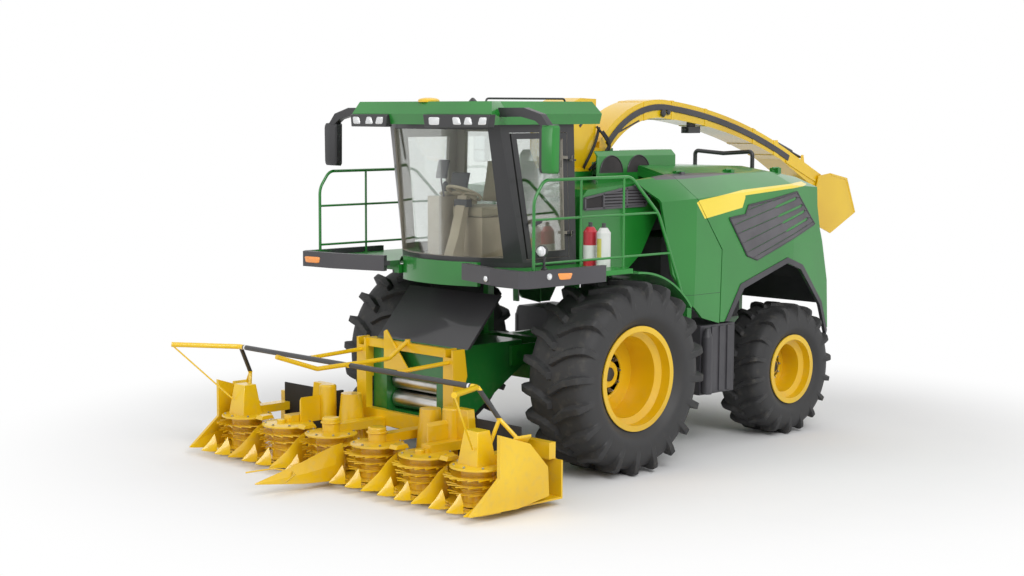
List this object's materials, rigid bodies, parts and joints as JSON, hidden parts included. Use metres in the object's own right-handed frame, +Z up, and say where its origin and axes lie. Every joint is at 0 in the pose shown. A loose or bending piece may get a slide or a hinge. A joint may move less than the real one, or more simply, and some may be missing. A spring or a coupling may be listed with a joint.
{
  "type": "forage harvester",
  "caption": "Self-propelled forage harvester with cab, folding-free rotary maize header, feed rolls, turning spout, steered rear wheels and opening service panels.",
  "frame": {"origin": "on the floor under the middle of the machine's overall box", "axes": "+Z up, the machine faces -Y, its own left side is +X"},
  "size_m": [4.6384, 9.868, 3.975],
  "materials": {
    "green_paint": "glossy green enamel",
    "yellow_paint": "glossy yellow enamel",
    "black_paint": "satin black paint",
    "black_plastic": "fine-grained moulded plastic",
    "tyre": "matt tread rubber",
    "steel": "worn bare steel",
    "iron": "dark casting",
    "glass": "clear tinted glass",
    "cab_trim": "beige moulded trim",
    "seat_cloth": "beige woven cloth",
    "red_paint": "glossy red enamel"
  },
  "bodies": {
    "chassis": {"frame": "green_paint", "cab_beams": "green_paint", "body_hoops": "green_paint", "side_boxes": "black_plastic", "mirrors": "black_plastic", "axles": "green_paint", "engine_block": "iron", "cab_shell": "black_plastic", "cab_glass": "glass", "cab_roof": "green_paint", "cab_seat": "seat_cloth", "cab_console": "cab_trim", "platforms": "black_plastic", "lower_panels": "green_paint", "railings": "green_paint", "extinguishers": "red_paint", "hood_front": "green_paint", "front_side_panels": "green_paint", "hood_top": "green_paint", "rear_panel": "black_plastic", "spout_cradle": "black_paint"},
    "cab_door": {"cab_door": "black_plastic", "cab_door_glass": "glass"},
    "service_door_left": {"side_door_left": "green_paint"},
    "service_door_right": {"side_door_right": "green_paint"},
    "spout_base": {"spout_turret": "yellow_paint"},
    "spout": {"spout_arm": "yellow_paint"},
    "spout_end": {"spout_flap": "yellow_paint"},
    "header": {"feeder_housing": "green_paint", "header_frame": "yellow_paint", "header_guides": "yellow_paint", "header_dividers": "yellow_paint"},
    "feed_roller_lower": {"feed_roller_lower": "steel"},
    "feed_roller_upper": {"feed_roller_upper": "steel"},
    "feed_drum_left": {"feed_drum_left": "yellow_paint"},
    "feed_drum_right": {"feed_drum_right": "yellow_paint"},
    "rotor_1": {"rotor_1": "yellow_paint"},
    "rotor_2": {"rotor_2": "yellow_paint"},
    "rotor_3": {"rotor_3": "yellow_paint"},
    "rotor_4": {"rotor_4": "yellow_paint"},
    "rotor_5": {"rotor_5": "yellow_paint"},
    "rotor_6": {"rotor_6": "yellow_paint"},
    "front_wheel_left": {"front_rim_left": "yellow_paint", "front_tyre_left": "tyre"},
    "rear_wheel_left": {"rear_rim_left": "yellow_paint", "rear_tyre_left": "tyre"},
    "knuckle_left": {"knuckle_left": "green_paint"},
    "front_wheel_right": {"front_rim_right": "yellow_paint", "front_tyre_right": "tyre"},
    "rear_wheel_right": {"rear_rim_right": "yellow_paint", "rear_tyre_right": "tyre"},
    "knuckle_right": {"knuckle_right": "green_paint"}
  },
  "joints": [
    {"name": "front_wheel_left_spin", "type": "hinge", "parent": "chassis", "child": "front_wheel_left", "pos_m": [1.46, -1.25, 1.03], "axis": [1, 0, 0], "continuous": true},
    {"name": "front_wheel_right_spin", "type": "hinge", "parent": "chassis", "child": "front_wheel_right", "pos_m": [-1.46, -1.25, 1.03], "axis": [1, 0, 0], "continuous": true},
    {"name": "steer_left", "type": "hinge", "parent": "chassis", "child": "knuckle_left", "pos_m": [0.78, 1.9, 0.78], "axis": [0, 0, 1], "range_deg": [-35, 35]},
    {"name": "rear_wheel_left_spin", "type": "hinge", "parent": "knuckle_left", "child": "rear_wheel_left", "pos_m": [1.2, 1.9, 0.78], "axis": [1, 0, 0], "continuous": true},
    {"name": "steer_right", "type": "hinge", "parent": "chassis", "child": "knuckle_right", "pos_m": [-0.78, 1.9, 0.78], "axis": [0, 0, 1], "range_deg": [-35, 35]},
    {"name": "rear_wheel_right_spin", "type": "hinge", "parent": "knuckle_right", "child": "rear_wheel_right", "pos_m": [-1.2, 1.9, 0.78], "axis": [1, 0, 0], "continuous": true},
    {"name": "cab_door_swing", "type": "hinge", "parent": "chassis", "child": "cab_door", "pos_m": [0.99, -1.425, 2.95], "axis": [0, 0, 1], "range_deg": [0, 50]},
    {"name": "service_door_left_lift", "type": "hinge", "parent": "chassis", "child": "service_door_left", "pos_m": [1.013, 1.3, 3.146], "axis": [0, -1, 0], "range_deg": [0, 60]},
    {"name": "service_door_right_lift", "type": "hinge", "parent": "chassis", "child": "service_door_right", "pos_m": [-1.013, 1.3, 3.146], "axis": [0, 1, 0], "range_deg": [0, 60]},
    {"name": "spout_turn", "type": "hinge", "parent": "chassis", "child": "spout_base", "pos_m": [0, -0.48, 3.15], "axis": [0, 0, 1], "range_deg": [-105, 105]},
    {"name": "spout_lift", "type": "hinge", "parent": "spout_base", "child": "spout", "pos_m": [0, -0.13, 3.33], "axis": [1, 0, 0], "range_deg": [0, 25]},
    {"name": "spout_end_tilt", "type": "hinge", "parent": "spout", "child": "spout_end", "pos_m": [0, 4.13, 2.905], "axis": [1, 0, 0], "range_deg": [-35, 40]},
    {"name": "header_lift", "type": "hinge", "parent": "chassis", "child": "header", "pos_m": [0, -1.7, 1.19], "axis": [-1, 0, 0], "range_deg": [-1.5, 20]},
    {"name": "feed_roller_lower_spin", "type": "hinge", "parent": "header", "child": "feed_roller_lower", "pos_m": [0, -2.69, 0.72], "axis": [1, 0, 0], "continuous": true},
    {"name": "feed_roller_upper_spin", "type": "hinge", "parent": "header", "child": "feed_roller_upper", "pos_m": [0, -2.69, 0.925], "axis": [1, 0, 0], "continuous": true},
    {"name": "feed_drum_left_spin", "type": "hinge", "parent": "header", "child": "feed_drum_left", "pos_m": [0.64, -3.155, 0.5], "axis": [0, 0, 1], "continuous": true},
    {"name": "feed_drum_right_spin", "type": "hinge", "parent": "header", "child": "feed_drum_right", "pos_m": [-0.64, -3.155, 0.5], "axis": [0, 0, 1], "continuous": true},
    {"name": "rotor_1_spin", "type": "hinge", "parent": "header", "child": "rotor_1", "pos_m": [-1.875, -3.65, 0.3], "axis": [0, 0, 1], "continuous": true},
    {"name": "rotor_2_spin", "type": "hinge", "parent": "header", "child": "rotor_2", "pos_m": [-1.125, -3.65, 0.3], "axis": [0, 0, 1], "continuous": true},
    {"name": "rotor_3_spin", "type": "hinge", "parent": "header", "child": "rotor_3", "pos_m": [-0.375, -3.65, 0.3], "axis": [0, 0, 1], "continuous": true},
    {"name": "rotor_4_spin", "type": "hinge", "parent": "header", "child": "rotor_4", "pos_m": [0.375, -3.65, 0.3], "axis": [0, 0, 1], "continuous": true},
    {"name": "rotor_5_spin", "type": "hinge", "parent": "header", "child": "rotor_5", "pos_m": [1.125, -3.65, 0.3], "axis": [0, 0, 1], "continuous": true},
    {"name": "rotor_6_spin", "type": "hinge", "parent": "header", "child": "rotor_6", "pos_m": [1.875, -3.65, 0.3], "axis": [0, 0, 1], "continuous": true}
  ],
  "couplings": [
    {"joint": "steer_right", "follows": "steer_left", "ratio": 1},
    {"joint": "feed_roller_upper_spin", "follows": "feed_roller_lower_spin", "ratio": -1}
  ]
}
